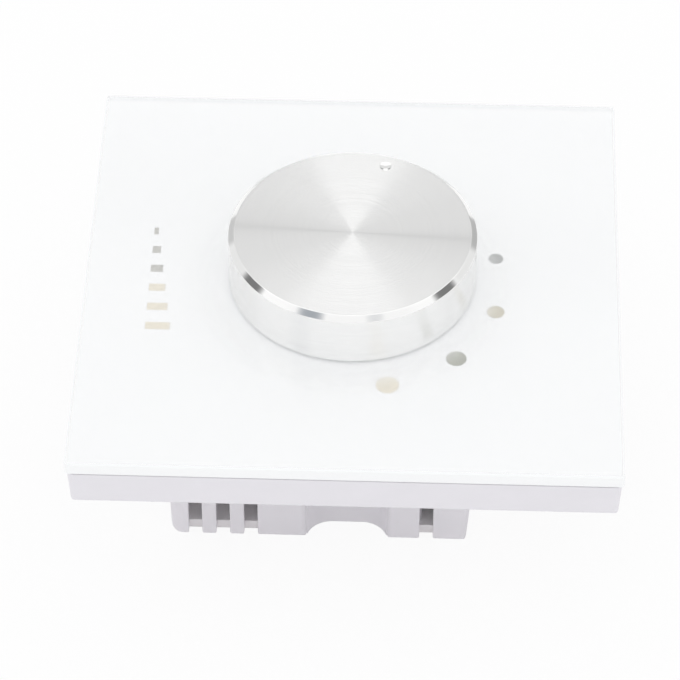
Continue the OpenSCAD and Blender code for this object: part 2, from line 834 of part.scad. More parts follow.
module knob_insert() color([0.22, 0.22, 0.23]) at_clock(pointer_rest) {
    difference() {
        union() {
            tube(insert_r, insert_r - insert_wall, insert_z, knob_under);
            post(insert_r - insert_wall / 2, knob_under - insert_plate_t, knob_under);
            post(hub_r, insert_z, knob_under);
            for (a = [0 : 60 : 300]) rotate([0, 0, a]) insert_rib();
        }
        slab(insert_z - 1, knob_under + 1) shaft_end_section(seat_fit);
        tube(hub_r + 1, hub_r - ring_t - seat_fit, ring_z - seat_fit, ring_z + ring_h + seat_fit);
        hub_slits();
    }
}

// A rib between the hub and the skirt, above the spring ring
module insert_rib() {
    z = ring_z + ring_h + 2 * panel_fit;
    translate([hub_r - overlap, -rib_t / 2, z])
        cube([insert_r - hub_r - insert_wall / 2, rib_t, knob_under - z]);
}

// Slits that let the hub's jaws close on the shaft
module hub_slits() {
    slit = 0.8;
    len = ring_z + ring_h + panel_fit - insert_z;
    for (a = [0, 90]) rotate([0, 0, a])
        translate([-hub_r - 1, -slit / 2, insert_z - 1]) cube([2 * hub_r + 2, slit, len + 1]);
}

// Round with one flat, facing the pointer
module shaft_end_section(clearance) {
    difference() {
        circle(shaft_r + clearance);
        translate([-shaft_d, shaft_r - shaft_flat + clearance]) square([2 * shaft_d, shaft_d]);
    }
}

module knob_clip() color([0.7, 0.7, 0.72]) at_clock(pointer_rest)
    slab(ring_z, ring_z + ring_h) difference() {
        circle(hub_r);
        circle(hub_r - ring_t);
        wedge(50, 2 * hub_r);
    }

// Rotary switch

module switch_shaft() color([0.78, 0.76, 0.68]) at_clock(pointer_rest) {
    post(shaft_r, groove_top, insert_z);
    slab(insert_z - overlap, shaft_top) shaft_end_section(0);
    post(groove_r, groove_bottom - overlap, groove_top + overlap);
    slab(rotor_hub_z, groove_bottom) drive_section(0);
    post(pivot_d / 2, case_z, rotor_hub_z + overlap);
}

module shaft_clip() color([0.55, 0.56, 0.58]) at_clock(pointer_rest)
    slab(clip_top - clip_t, clip_top) difference() {
        circle(clip_r);
        circle(groove_r + seat_fit);
        wedge(70, 2 * clip_r);
    }

module switch_bush() color([0.72, 0.73, 0.75]) {
    difference() {
        union() {
            slab(flange_z, seat_depth) rounded_square(case_w, case_w, case_corner_r);
            post(bush_r, seat_depth - overlap, bush_top);
            translate([0, locator_y, 0]) post(locator_r, seat_depth - overlap, seat_depth + locator_h);
        }
        post(shaft_r + run_fit, flange_z - 1, bush_top + 1);
        at_corners(rivet_pitch, rivet_pitch) {
            post(rivet_r + seat_fit, flange_z - 1, seat_depth + 1);
            post(rivet_head_r + seat_fit, seat_depth - rivet_head_t - seat_fit, seat_depth + 1);
        }
    }
}

// A washer with teeth bent inwards towards the bush
module lock_washer() color([0.66, 0.67, 0.69])
    slab(washer_z, nut_z) difference() {
        circle(washer_d / 2);
        circle(bush_r + slide_fit);
        for (a = [0 : 36 : 324]) rotate(a) translate([0, bush_r]) square([0.9, 1.6], center = true);
    }

module bush_nut() color([0.8, 0.78, 0.7])
    difference() {
        translate([0, 0, nut_z]) cylinder(d = nut_flats / cos(30), h = nut_t, $fn = 6);
        post(bush_r + seat_fit, nut_z - 1, nut_z + nut_t + 1);
    }

module switch_case() color([0.16, 0.16, 0.17]) {
    difference() {
        slab(case_z, flange_z) rounded_square(case_w, case_w, case_corner_r);
        post(cavity_r, case_z - 1, flange_z + 1);
        post(wafer_pocket_r, case_z - 1, wafer_top);
        at_corners(rivet_pitch, rivet_pitch) post(rivet_r + seat_fit, case_z - 1, flange_z + 1);
        translate([0, -leaf_y, (wheel_top + wheel_z) / 2]) cube([
            2 * (leaf_half + slide_fit), leaf_t + 2 * slide_fit, leaf_w + 2 * slide_fit], center = true);
    }
    end_stops();
}

// A ledge round the case, left open where the rotor's lug sweeps
module end_stops() {
    open = sweep + stop_lug + 2 * stop_gap;
    slab(rotor_z - slide_fit, wheel_z - slide_fit) difference() {
        circle(cavity_r + overlap);
        circle(stop_r);
        at_clock(pointer_rest + 180 + sweep / 2) wedge(open, 4 * cavity_r);
    }
}

module switch_rivets() color([0.8, 0.74, 0.55]) at_corners(rivet_pitch, rivet_pitch) {
    post(rivet_r, case_z - overlap, seat_depth - overlap);
    post(rivet_head_r, seat_depth - rivet_head_t, seat_depth - seat_fit);
    post(rivet_head_r, case_z - rivet_head_t, case_z);
}

// A star wheel with a notch under the spring at every position
module detent_wheel() color([0.92, 0.91, 0.86]) at_clock(180)
    slab(wheel_z, wheel_top) difference() {
        circle(wheel_r);
        for (i = [1 : floor(360 / step_angle)])
            rotate(i * step_angle) translate([0, scoop_pitch_r]) circle(notch_scoop_r);
        at_clock(pointer_rest - 180) drive_section(seat_fit);
    }

// A leaf across the case with a blunt nose in the wheel's notch
module detent_spring() color([0.68, 0.69, 0.71])
    slab((wheel_top + wheel_z - leaf_w) / 2, (wheel_top + wheel_z + leaf_w) / 2) {
        top = leaf_t / 2 - leaf_y;
        bottom = -leaf_t / 2 - leaf_y;
        tip = notch_scoop_r - scoop_pitch_r - nose_gap;
        polygon([
            [-leaf_half, top],
            [-nose_root, top],
            [-nose_tip, tip],
            [nose_tip, tip],
            [nose_root, top],
            [leaf_half, top],
            [leaf_half, bottom],
            [nose_root - leaf_t, bottom],
            [nose_tip - leaf_t / 2, tip - leaf_t],
            [leaf_t / 2 - nose_tip, tip - leaf_t],
            [leaf_t - nose_root, bottom],
            [-leaf_half, bottom]]);
    }

module contact_rotor() color([0.45, 0.28, 0.16]) at_clock(pointer_rest) difference() {
    union() {
        post(rotor_r, rotor_z, wheel_z);
        post(rotor_hub_r, rotor_hub_z, wheel_z);
        at_clock(180) slab(rotor_z, wheel_z) intersection() {
            circle(lug_r);
            wedge(stop_lug, 2 * lug_r);
        }
    }
    slab(rotor_hub_z - 1, wheel_z + 1) drive_section(seat_fit);
}

// A bridge of two spring fingers, one on the common ring and one on the studs
module contact_wiper() color([0.85, 0.66, 0.3]) at_clock(pointer_rest) {
    root = 3;
    top = rotor_z;
    translate([-root - 0.6, common_pitch_r - finger_w / 2, top - wiper_t])
        cube([1.2, stud_pitch_r - common_pitch_r + finger_w, wiper_t]);
    for (r = [common_pitch_r, stud_pitch_r]) {
        translate([0, r + finger_w / 2, 0]) rotate([90, 0, 0]) linear_extrude(finger_w) polygon([
            [-root, top],
            [-root + 0.5, top],
            [dome_r, dome_z + 0.2],
            [dome_r, dome_z - 0.1],
            [-dome_r, dome_z - 0.1]]);
        translate([0, r, dome_z]) sphere(dome_r);
    }
}

module contact_wafer() color([0.62, 0.42, 0.22]) difference() {
    post(wafer_r, case_z, wafer_top);
    post(pivot_d / 2 + run_fit, case_z - 1, wafer_top + 1);
    for (p = contact_points()) translate(p) post(pin_r + seat_fit, case_z - 1, wafer_top + 1);
}

// One stud for each position, and the common ring's pin under the shaft
function contact_points() = concat(
    [for (i = [0 : positions - 1]) on_dial(pointer_rest + i * step_angle, stud_pitch_r)],
    [on_dial(180, common_pitch_r)]);

module contact_studs() color([0.9, 0.78, 0.45]) {
    tube(common_out_r, common_in_r, wafer_top, contact_top);
    for (i = [0 : positions - 1]) translate(contact_points()[i]) post(stud_head_r, wafer_top, contact_top);
    for (p = contact_points()) translate(p) post(pin_r, pin_tip, wafer_top + contact_t / 2);
}

// Circuit board

module circuit_board() color([0.1, 0.38, 0.2]) difference() {
    slab(board_z, board_top) translate([-board_half, board_lower])
        square([2 * board_half, board_upper - board_lower]);
    for (p = concat(contact_points(), tap_points(), terminal_points()))
        translate(p) post(pin_r + 2 * seat_fit, board_z - 1, board_top + 1);
    both_sides() translate([post_x, post_y, 0]) post(clear_r, board_z - 1, board_top + 1);
}

function tap_points() = [for (i = [0 : tap_count - 1]) [tap_x(i), tap_y]];

function terminal_points() = [for (i = [0 : terminal_ways - 1]) [terminal_x(i), clamp_screw_y]];

module board_screws() color([0.75, 0.76, 0.78])
    both_sides() translate([post_x, post_y, board_z]) mirror([0, 0, 1])
        plastic_screw(screw_len + board_t - 1);

// Transformer

// Extrudes an outline in X and Z through the depth of the core
module through_core(depth) {
    translate([0, coil_y + depth / 2, 0]) rotate([90, 0, 0]) linear_extrude(depth) children();
}

module core_e_stack() color([0.5, 0.51, 0.54]) through_core(core_stack) {
    translate([-core_w / 2, core_z]) square([core_w, core_leg]);
    for (x = [-core_w / 2, -core_leg, core_w / 2 - core_leg])
        translate([x, core_z]) square([x == -core_leg ? 2 * core_leg : core_leg, core_leg + core_window_h]);
}

module core_i_stack() color([0.54, 0.55, 0.58]) through_core(core_stack)
    translate([-core_w / 2, seat_depth - core_leg]) square([core_w, core_leg]);

// A rounded sleeve round the centre leg
module sleeve_outline(out) {
    translate([0, coil_y])
        rounded_square(2 * (bobbin_in_x + out), 2 * (bobbin_in_y + out), max(out, 0.2));
}

module leg_sleeve(out, in, z0, z1) {
    slab(z0, z1) difference() {
        sleeve_outline(out);
        sleeve_outline(in);
    }
}

module coil_bobbin() color([0.93, 0.92, 0.88]) difference() {
    union() {
        leg_sleeve(bobbin_wall, 0, bobbin_z, bobbin_z + bobbin_h);
        for (z = [bobbin_z, bobbin_z + bobbin_h - bobbin_wall]) bobbin_flange(z);
    }
    for (p = tap_points()) translate([p[0], coil_y + bobbin_flange_y - tap_root - slide_fit, tap_z])
        rotate([-90, 0, 0]) cylinder(r = tap_pin_r + seat_fit / 2, h = 2 * tap_root);
}

module bobbin_flange(z) {
    slab(z, z + bobbin_wall) difference() {
        translate([0, coil_y]) rounded_square(2 * bobbin_flange_x, 2 * bobbin_flange_y, 1);
        sleeve_outline(0);
    }
}

module coil_winding() color([0.72, 0.42, 0.2])
    leg_sleeve(coil_out, coil_in, bobbin_z + bobbin_wall, bobbin_z + bobbin_h - bobbin_wall);

module coil_tape() color([0.9, 0.78, 0.25])
    leg_sleeve(tape_out, coil_out + seat_fit,
        bobbin_z + 2 * bobbin_wall, bobbin_z + bobbin_h - 2 * bobbin_wall);

// Bent pins from the rear flange up through the board
module coil_pins() color([0.86, 0.84, 0.8]) for (p = tap_points()) {
    root_y = coil_y + bobbin_flange_y - tap_root;
    translate([p[0], root_y, tap_z]) rotate([-90, 0, 0]) cylinder(r = tap_pin_r, h = tap_y - root_y);
    translate([p[0], tap_y, tap_z]) sphere(tap_pin_r);
    translate([p[0], tap_y, 0]) post(tap_pin_r, tap_z, board_top + 0.4);
}

// A strap round the rear of the core, with two screwed ears
module core_clamp() color([0.7, 0.71, 0.73]) difference() {
    through_core(clamp_w) difference() {
        union() {
            translate([-core_w / 2 - clamp_t, core_z - clamp_t])
                square([core_w + 2 * clamp_t, core_h + clamp_t]);
            translate([-clamp_ear, seat_depth - clamp_t]) square([2 * clamp_ear, clamp_t]);
        }
        translate([-core_w / 2, core_z]) square([core_w, core_h + 1]);
    }
    both_sides() translate([clamp_x, coil_y, 0]) post(clear_r, seat_depth - clamp_t - 1, seat_depth + 1);
}

module clamp_screws() color([0.75, 0.76, 0.78])
    both_sides() translate([clamp_x, coil_y, seat_depth - clamp_t]) mirror([0, 0, 1])
        plastic_screw(clamp_t + base_t - seat_depth);

// Terminals

module terminal_body() color([0.12, 0.42, 0.24]) difference() {
    translate([terminal_w / 2, 0, 0]) rotate([0, -90, 0]) linear_extrude(terminal_w) terminal_side();
    for (i = [0 : terminal_ways - 1]) translate([terminal_x(i), 0, 0]) terminal_cell();
}

// Side of the block in Z and Y, with a sloping shoulder over the wire entries
module terminal_side() {
    polygon([
        [terminal_z, terminal_y],
        [board_z, terminal_y],
        [board_z, terminal_face],
        [cage_z, terminal_face],
        [terminal_z, clamp_screw_y + terminal_head_r + 1]]);
}

module terminal_cell() {
    cage_pocket(slide_fit);
    translate([0, cage_y, wire_z]) rotate([-90, 0, 0]) cylinder(r = wire_r, h = terminal_depth);
    translate([0, clamp_screw_y, 0]) {
        post(terminal_head_r + panel_fit, terminal_z - 1, cage_z + overlap);
        post(pin_r + seat_fit, cage_z, board_z + 1);
    }
}

module cage_pocket(clearance) {
    translate([-cage_w / 2 - clearance, cage_y - clearance, cage_z - clearance])
        cube([cage_w + 2 * clearance, cage_depth + 2 * clearance, cage_h + 2 * clearance]);
}

// Cage clamps, each with a wire hole, a threaded hole and a solder pin
module terminal_clamps() color([0.84, 0.7, 0.4]) for (i = [0 : terminal_ways - 1])
    translate([terminal_x(i), 0, 0]) {
        difference() {
            cage_pocket(0);
            translate([0, cage_y - 1, wire_z]) rotate([-90, 0, 0]) cylinder(r = wire_r, h = cage_depth + 2);
            translate([0, clamp_screw_y, 0]) post(terminal_screw_r + seat_fit, cage_z - 1, wire_z);
        }
        translate([0, clamp_screw_y, 0]) post(pin_r, cage_z + cage_h - overlap, board_top + 0.4);
    }

module terminal_screws() color([0.78, 0.79, 0.8]) for (i = [0 : terminal_ways - 1])
    translate([terminal_x(i), clamp_screw_y, cage_z - terminal_head_t / 2]) mirror([0, 0, 1])
        slotted_screw(terminal_screw_r, terminal_head_t / 2 + 1, terminal_head_r, terminal_head_t);

glass_panel();
white_print();
dial_dots();
level_bars();
adhesive_sheet();
front_frame();
base_plate();
base_screws();
rear_housing();
back_cover();
cover_screws();
knob_cap();
knob_insert();
knob_clip();
switch_shaft();
shaft_clip();
switch_bush();
lock_washer();
bush_nut();
switch_case();
switch_rivets();
detent_wheel();
detent_spring();
contact_rotor();
contact_wiper();
contact_wafer();
contact_studs();
circuit_board();
board_screws();
core_e_stack();
core_i_stack();
coil_bobbin();
coil_winding();
coil_tape();
coil_pins();
core_clamp();
clamp_screws();
terminal_body();
terminal_clamps();
terminal_screws();
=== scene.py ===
import json
import math

import bpy
from mathutils import Matrix, Vector


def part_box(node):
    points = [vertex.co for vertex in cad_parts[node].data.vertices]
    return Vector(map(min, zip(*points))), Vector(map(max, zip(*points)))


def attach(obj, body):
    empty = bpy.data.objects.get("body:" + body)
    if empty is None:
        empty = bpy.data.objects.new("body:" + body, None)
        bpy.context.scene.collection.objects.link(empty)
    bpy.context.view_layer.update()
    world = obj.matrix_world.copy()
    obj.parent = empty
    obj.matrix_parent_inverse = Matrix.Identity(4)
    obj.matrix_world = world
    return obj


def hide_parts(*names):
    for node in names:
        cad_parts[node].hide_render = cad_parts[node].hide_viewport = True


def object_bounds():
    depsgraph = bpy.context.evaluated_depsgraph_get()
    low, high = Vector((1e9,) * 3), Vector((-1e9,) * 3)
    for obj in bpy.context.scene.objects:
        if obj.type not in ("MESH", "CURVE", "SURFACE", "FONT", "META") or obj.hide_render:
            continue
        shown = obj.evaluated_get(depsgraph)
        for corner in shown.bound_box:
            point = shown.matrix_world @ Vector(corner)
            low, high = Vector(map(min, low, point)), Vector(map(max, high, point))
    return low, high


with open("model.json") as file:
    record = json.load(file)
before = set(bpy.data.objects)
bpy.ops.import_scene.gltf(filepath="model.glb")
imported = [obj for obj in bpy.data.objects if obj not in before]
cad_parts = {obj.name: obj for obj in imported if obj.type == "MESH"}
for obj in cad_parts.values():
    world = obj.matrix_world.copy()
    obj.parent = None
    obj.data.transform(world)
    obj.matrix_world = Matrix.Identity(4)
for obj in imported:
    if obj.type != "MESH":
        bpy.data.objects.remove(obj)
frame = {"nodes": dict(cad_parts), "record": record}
cad_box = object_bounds()

MM = 0.001

# The knob's sizes that its node's box doesn't give, as in the part's source
CHAMFER_WIDTH = 0.9 * MM
CHAMFER_HEIGHT = 0.7 * MM
KNOB_WALL = 2.4 * MM
KNOB_TOP = 2.5 * MM
FOOT_CHAMFER = 0.2 * MM
DIMPLE_CLOCK = math.radians(-73)
DIMPLE_PITCH = 16.6 * MM
DIMPLE_RADIUS = 1.0 * MM
DIMPLE_DEPTH = 0.6 * MM

# Small forms of the knob that only the scene has
DIMPLE_FLOOR = 0.3 * MM
DIMPLE_FLANK = 0.26 * MM
EDGE_EASE = 0.05 * MM
KNOB_SIDES = 256
DIMPLE_SIDES = 64
KNOB_CREASE = math.radians(20)

# The contact wiper's sizes, as in the part's source but for the cut corner
WIPER_ROOT = 3.0 * MM
WIPER_SHEET = 0.3 * MM
WIPER_CORNER = 0.6 * MM
BRIDGE_WIDTH = 1.2 * MM
FINGER_WIDTH = 0.9 * MM
FINGER_ROOT = 0.5 * MM
TIP_HEIGHT = 0.2 * MM
TIP_THICKNESS = 0.3 * MM
CONTACT_RADIUS = 0.45 * MM
COMMON_PITCH = 4.7 * MM
STUD_PITCH = 7.2 * MM
WIPER_CREASE = math.radians(30)

# How near a point has to be to count as on an edge
NEAR = 0.01 * MM

# The milk of the glass, faint all over and strongest round the knob, where the extra milk is painted light
# that hides the knob's shade on the print: how far ahead of the knob's axis it lies and where it fades, in mm,
# and its strength
PAINTED_LIGHT_AHEAD = 1.3
PAINTED_LIGHT_FADE = (18.0, 25.0)
MILK_WITH_PAINTED_LIGHT = 0.95
MILK_LOSS = 0.66

# How far up the glass's faces look where its edges end and its flats start
FLAT_STEP = (0.8, 0.95)

# The turned metal: grooves and rings per mm, and how far the grooves lean
GROOVES = 220.0
RINGS = 3.4
TOP_LEAN = 1.15
SIDE_LEAN = 1.8

# How far up the knob's faces look where its top starts and its side ends
TOP_STEP = (0.96, 0.99)
SIDE_END = (0.05, 0.2)

# The photo's camera, solved from the corners of the glass
CAMERA_TURN = math.radians(91.826)
CAMERA_RISE = math.radians(44.784)
CAMERA_ROLL = math.radians(0.073)
CAMERA_DISTANCE = 586.63 * MM
CAMERA_SENSOR = 36
CAMERA_LENS = 192.92
GLASS_FRONT = 9.1 * MM
AIM_LEFT = 2.019 * MM
AIM_DOWN = 10.287 * MM

# The floor
FLOOR_SIZE = 8
FLOOR_GAP = 0.05 * MM
FLOOR_WHITE = 0.9

# The light tent, in parts of a direction of length 1; a step is where a change starts and ends
TENT_LIGHT = 1.04
TENT_EXCESS = 0.04
LOW_STEP = (0.2, 0.34)
OVERHEAD = 0.96
REAR_STEP = (0.05, 0.3)
REAR_GAIN = 0.53
ARCH_MIDDLE = -0.72
ARCH_SKEW = 0.05
ARCH_STEP = (0.08, 0.34)
ARCH_SHADE = 0.72
SEAM_MIDDLE = -0.729
SEAM_SKEW = -0.052
SEAM_STEP = (0.0, 0.016)
SEAM_SHADE = 0.14
SIDE_STEP = (0.5, 0.64)
SIDE_SPREAD = 0.25
SIDE_NEAR_STEP = (0.15, 0.28)
SIDE_NEAR_SHADE = 0.18
SIDE_FAR_STEP = (0.58, 0.66)
SIDE_FAR_SHADE = 0.28
UNEVEN_STEP = (0.5, 0.7)
UNEVEN_SHADE = 0.16
FLANK_MIDDLE = -0.012
FLANK_START = (0.07, 0.15)
FLANK_END = (0.44, 0.52)
FLANK_REAR = (0.74, 0.82)
FLANK_TOP = (0.36, 0.46)
FLANK_SHADE = 0.8
TALL_SIDE = (0.743, -0.669)
TALL_STEP = (0.985, 0.996)
TALL_TOP = (0.5, 0.65)
TALL_SHARE = 0.7

# Round cards of the tent: direction, the angles of the core and the rim in degrees, and strength
DARK_CARDS = (
    ((-0.123, -0.815, 0.562), 5.5, 12.0, 0.8),
    ((-0.069, 0.782, 0.618), 5.0, 11.5, 0.8),
)
COOL_CARDS = (
    ((0.413, -0.398, 0.816), 4.0, 11.0, 1.0),
    ((0.470, 0.238, 0.847), 2.0, 8.0, 0.4),
)


def rgb(red, green, blue):
    return (red, green, blue, 1.0)


WHITE = rgb(1.0, 1.0, 1.0)
COOL_GREY = rgb(0.39, 0.415, 0.45)


class Link:
    """One output of a node, so that shader maths reads as plain sums."""

    def __init__(self, nodes, socket):
        self.nodes = nodes
        self.socket = socket

    def out(self, name):
        """Another output of the same node."""
        return Link(self.nodes, self.socket.node.outputs[name])

    def __add__(self, other):
        return self.nodes.maths("ADD", self, other)

    def __sub__(self, other):
        return self.nodes.maths("SUBTRACT", self, other)

    def __rsub__(self, other):
        return self.nodes.maths("SUBTRACT", other, self)

    def __mul__(self, other):
        return self.nodes.maths("MULTIPLY", self, other)

    def __truediv__(self, other):
        return self.nodes.maths("DIVIDE", self, other)

    def __pow__(self, other):
        return self.nodes.maths("POWER", self, other)

    def __abs__(self):
        return self.nodes.maths("ABSOLUTE", self)

    def __lt__(self, other):
        return self.nodes.maths("LESS_THAN", self, other)

    __radd__ = __add__
    __rmul__ = __mul__


class Nodes:
    """The nodes of one material or of the world."""

    def __init__(self, owner):
        owner.use_nodes = True
        self.owner = owner
        self.tree = owner.node_tree
        self.tree.nodes.clear()

    def add(self, kind, settings=None, inputs=None, output=0):
        """A node of a kind, with its settings and then the values or links of its inputs."""
        node = self.tree.nodes.new(kind)
        for name, value in (settings or {}).items():
            if name == "stops":
                ramp = node.color_ramp.elements
                while len(ramp) < len(value):
                    ramp.new(1.0)
                for element, (position, colour) in zip(ramp, value):
                    element.position = position
                    element.color = rgb(*colour)
            else:
                setattr(node, name, value)
        for key, value in (inputs or {}).items():
            if isinstance(value, Link):
                self.tree.links.new(value.socket, node.inputs[key])
            else:
                node.inputs[key].default_value = value
        return Link(self, node.outputs[output]) if node.outputs else None

    def maths(self, operation, first, second=0.0):
        return self.add("ShaderNodeMath", {"operation": operation}, {0: first, 1: second})

    def vector(self, operation, first, second=(0.0, 0.0, 0.0)):
        return self.add("ShaderNodeVectorMath", {"operation": operation}, {0: first, 1: second})

    def scaled(self, vector, factor):
        return self.add("ShaderNodeVectorMath", {"operation": "SCALE"}, {0: vector, "Scale": factor})

    def place(self):
        """Object coordinates in millimetres."""
        return self.scaled(self.add("ShaderNodeTexCoord", output="Object"), 1 / MM)

    def split(self, vector):
        x = self.add("ShaderNodeSeparateXYZ", None, {0: vector})
        return x, x.out("Y"), x.out("Z")

    def geometry(self, output):
        return self.add("ShaderNodeNewGeometry", output=output)

    def rays(self, output):
        return self.add("ShaderNodeLightPath", output=output)

    def noise(self, vector, scale, detail=2.0, rough=0.5):
        return self.add(
            "ShaderNodeTexNoise",
            None,
            {"Vector": vector, "Scale": scale, "Detail": detail, "Roughness": rough},
        )

    def noise_along(self, value, scale, detail=2.0, rough=0.5):
        """Noise over one value, here along a line across the grooves."""
        return self.add(
            "ShaderNodeTexNoise",
            {"noise_dimensions": "1D"},
            {"W": value, "Scale": scale, "Detail": detail, "Roughness": rough},
        )

    def soft(self, value, low, high):
        """A smooth step from 0 at low to 1 at high."""
        return self.add(
            "ShaderNodeMapRange",
            {"interpolation_type": "SMOOTHSTEP"},
            {"Value": value, "From Min": low, "From Max": high},
        )

    def tint(self, factor, first, second):
        """A colour between two others."""
        return self.add("ShaderNodeMix", {"data_type": "RGBA"}, {0: factor, 6: first, 7: second}, output=2)

    def mix(self, factor, first, second):
        """A shader between two others."""
        return self.add("ShaderNodeMixShader", None, {0: factor, 1: first, 2: second})

    def clear(self):
        return self.add("ShaderNodeBsdfTransparent", None, {"Color": WHITE})

    def dull(self, colour):
        return self.add("ShaderNodeBsdfDiffuse", None, {"Color": colour})

    def bump(self, height, distance, normal=None):
        inputs = {"Height": height, "Strength": 1.0, "Distance": distance}
        if normal:
            inputs["Normal"] = normal
        return self.add("ShaderNodeBump", None, inputs)

    def eased_edges(self, radius):
        """Normals that round the sharp edges, as a mould or a tumbling drum leaves them."""
        return self.add("ShaderNodeBevel", {"samples": 6}, {"Radius": radius})

    def surface(self, **inputs):
        """The main shader, with underscores in its sockets' names as spaces."""
        named = {key.replace("_", " "): value for key, value in inputs.items()}
        return self.add("ShaderNodeBsdfPrincipled", None, named)

    def show(self, shader):
        """Ends the material with a shader."""
        self.add("ShaderNodeOutputMaterial", None, {"Surface": shader})
        return self.owner

    def paint(self, **inputs):
        """Ends the material with the main shader alone."""
        return self.show(self.surface(**inputs))


def finish(name):
    """The nodes of a new material."""
    return Nodes(bpy.data.materials.new(name))


# Finishes of the front

def clear_glass():
    """Polished, with white ground edges and a front that is milky, most of all round the knob, where the extra
    milk is painted light over the knob's shade.
    """
    nodes = finish("clear_glass")
    spot = nodes.place()
    x, y, _ = nodes.split(spot)
    way = nodes.geometry("True Normal")
    up = nodes.split(way)[2]
    front = nodes.soft(up, *FLAT_STEP)
    edge = 1.0 - nodes.soft(abs(up), *FLAT_STEP)
    outside = 1.0 - way.out("Backfacing")
    # Painted light: the milk rises round the knob, a little ahead of its axis, to lighten the knob's shade on
    # the print beneath
    ahead = x - PAINTED_LIGHT_AHEAD
    milk_and_painted_light = MILK_WITH_PAINTED_LIGHT - nodes.soft((ahead * ahead + y * y) ** 0.5, *PAINTED_LIGHT_FADE) * MILK_LOSS
    grain = nodes.noise(spot, 9.0, detail=3.0, rough=0.6)
    smear = nodes.noise(spot, 0.06, detail=3.0, rough=0.6)
    gloss = 0.01 + smear * 0.015 + edge * (0.2 + grain * 0.15)
    tone = nodes.tint(grain, rgb(0.93, 0.945, 0.955), rgb(0.955, 0.96, 0.965))
    glass = nodes.surface(Base_Color=WHITE, Roughness=gloss, IOR=1.5, Transmission_Weight=1.0)
    white = nodes.surface(Base_Color=tone, Roughness=gloss)
    panel = nodes.mix(edge + outside * front * milk_and_painted_light, glass, white)

    # Light to and from the print goes straight through
    rays = nodes.rays("Is Shadow Ray")
    return nodes.show(nodes.mix(rays + rays.out("Is Diffuse Ray"), panel, nodes.clear()))


def white_print():
    """An even coat of white ink behind the glass."""
    nodes = finish("white_print")
    spot = nodes.place()
    cloud = nodes.noise(spot, 0.05)
    grain = nodes.noise(spot, 5.0)
    return nodes.paint(
        Base_Color=nodes.tint(cloud, rgb(0.935, 0.945, 0.955), rgb(0.95, 0.955, 0.96)),
        Roughness=0.4 + grain * 0.15,
        Normal=nodes.bump(grain, 0.002 * MM),
    )


def silver_print():
    """Thin silver ink that takes a slightly different tone in every mark round the dial; these tones are
    painted reflection, each mark given what it would mirror.
    """
    nodes = finish("silver_print")
    spot = nodes.place()
    x, y, _ = nodes.split(spot)
    turn = nodes.add(
        "ShaderNodeMapRange",
        None,
        {
            "Value": nodes.maths("ARCTAN2", x, y),
            "From Min": math.radians(-90),
            "From Max": math.radians(90),
        },
    )
    # Tones of the marks by their angle round the dial: painted reflection, not a difference in the ink itself
    stops = [
        (0.12, (0.42, 0.41, 0.36)),
        (0.38, (0.24, 0.25, 0.24)),
        (0.47, (0.22, 0.23, 0.22)),
        (0.54, (0.56, 0.50, 0.34)),
        (0.66, (0.54, 0.49, 0.33)),
        (0.72, (0.20, 0.21, 0.13)),
        (0.80, (0.20, 0.21, 0.11)),
        (0.88, (0.84, 0.76, 0.58)),
    ]
    tone = nodes.add("ShaderNodeValToRGB", {"stops": stops}, {0: turn})
    flakes = nodes.noise(spot, 14.0, detail=3.0, rough=0.7)
    return nodes.paint(
        Base_Color=nodes.tint(flakes * 0.14, tone, rgb(0.9, 0.9, 0.88)),
        Metallic=0.35,
        Roughness=0.32 + flakes * 0.16,
        Normal=nodes.bump(flakes, 0.004 * MM),
    )


def turned_aluminium():
    """Fine turned grooves and faint rings on the top and the side, and a polished chamfer."""
    nodes = finish("turned_aluminium")
    spot = nodes.place()
    x, y, z = nodes.split(spot)
    radius = (x * x + y * y) ** 0.5
    way = nodes.geometry("True Normal")
    up = nodes.split(way)[2]
    top = nodes.soft(up, *TOP_STEP)
    side = 1.0 - nodes.soft(abs(up), *SIDE_END)
    along = radius - z
    slope = nodes.noise_along(along, GROOVES, detail=1.0, rough=0.6) - 0.5
    feed = nodes.noise_along(along, RINGS)
    ring = nodes.soft(feed, 0.35, 0.65)
    wear = nodes.noise(spot, 0.35, detail=4.0, rough=0.6)
    lean = slope * top * TOP_LEAN
    groove = nodes.add(
        "ShaderNodeCombineXYZ",
        None,
        {0: x / radius * lean, 1: y / radius * lean, 2: slope * side * SIDE_LEAN},
    )
    facing = nodes.vector("ADD", way.out("Normal"), groove)
    metal = nodes.surface(
        Base_Color=nodes.tint(ring * 0.7 + wear * 0.3, rgb(0.953, 0.953, 0.948), rgb(0.973, 0.973, 0.968)),
        Metallic=1.0,
        Roughness=0.05 + top * (0.05 + feed * 0.02) + side * 0.13 + wear * 0.02,
        Anisotropic=1.0,
        Anisotropic_Rotation=0.25,
        Normal=nodes.vector("NORMALIZE", facing),
    )

    # Light that has met a dull surface finds plain white here, in place of what the side throws on the glass
    plain = nodes.dull(rgb(0.96, 0.96, 0.96))
    return nodes.show(nodes.mix(nodes.rays("Is Diffuse Ray"), metal, plain))


# Finishes of the plastics

def moulded(name, colour, roughness, thin=0.0):
    """Plastic with a fine eroded texture, flow marks and eased edges; a thin wall lets a share of light in."""
    nodes = finish(name)
    spot = nodes.place()
    flow = nodes.noise(nodes.vector("MULTIPLY", spot, (0.05, 0.12, 0.2)), 1.0, detail=3.0, rough=0.55)
    skin = nodes.noise(spot, 4.5, detail=3.0, rough=0.6)
    deep = (c * 0.95 for c in colour)
    pale = (min(c * 1.03, 1.0) for c in colour)
    plastic = nodes.surface(
        Base_Color=nodes.tint(flow * 0.7 + skin * 0.3, rgb(*deep), rgb(*pale)),
        Roughness=roughness - 0.05 + skin * 0.1,
        Normal=nodes.bump(skin, 0.004 * MM, nodes.eased_edges(0.18 * MM)),
    )
    if thin:
        through = nodes.add("ShaderNodeBsdfTranslucent", None, {"Color": rgb(0.97, 0.93, 0.96)})
        wall = nodes.mix(thin, plastic, through)
        plastic = nodes.mix(nodes.geometry("Backfacing"), wall, nodes.clear())
    return nodes.show(plastic)


